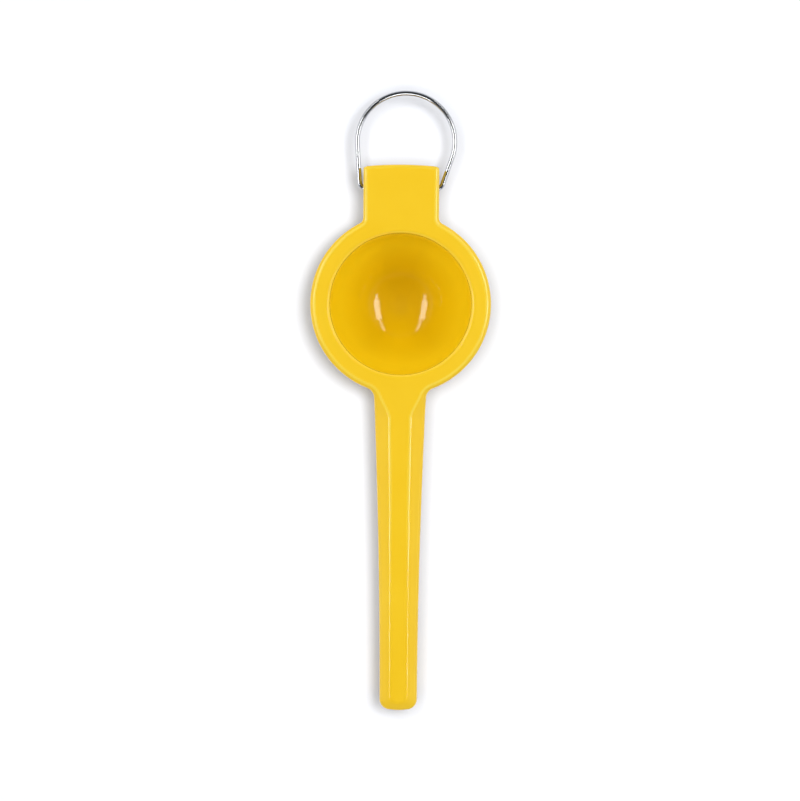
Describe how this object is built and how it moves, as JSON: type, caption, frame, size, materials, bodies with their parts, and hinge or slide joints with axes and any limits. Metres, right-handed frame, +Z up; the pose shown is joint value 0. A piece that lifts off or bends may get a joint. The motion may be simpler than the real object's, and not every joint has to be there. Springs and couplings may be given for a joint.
{
  "type": "lemon squeezer",
  "caption": "Enamelled hand press for lemon halves: hollow dome over a drained cup, hinged arms with channel handles and a wire hanging loop.",
  "frame": {"origin": "middle of the flat base under the cup, on the surface that the press lies on", "axes": "+Z up out of the bowl, +Y from the cup towards the hinge and the hanging loop, handles towards -Y, X along the hinge pin"},
  "size_m": [0.0716, 0.2454, 0.0419],
  "materials": {
    "enamel": "glossy baked enamel",
    "pin_steel": "drawn tube",
    "loop_steel": "bright drawn wire"
  },
  "bodies": {
    "lower_arm": {"lower_arm": "enamel", "hinge_pin": "pin_steel"},
    "upper_arm": {"upper_arm": "enamel"},
    "hanging_loop": {"hanging_loop": "loop_steel"}
  },
  "joints": [
    {"name": "press_hinge", "type": "hinge", "parent": "lower_arm", "child": "upper_arm", "pos_m": [0, 0.0458, 0.032], "axis": [-1, 0, 0], "range_deg": [0, 120]},
    {"name": "loop_swing", "type": "hinge", "parent": "lower_arm", "child": "hanging_loop", "pos_m": [0, 0.0458, 0.032], "axis": [1, 0, 0], "range_deg": [-126, 140]}
  ]
}
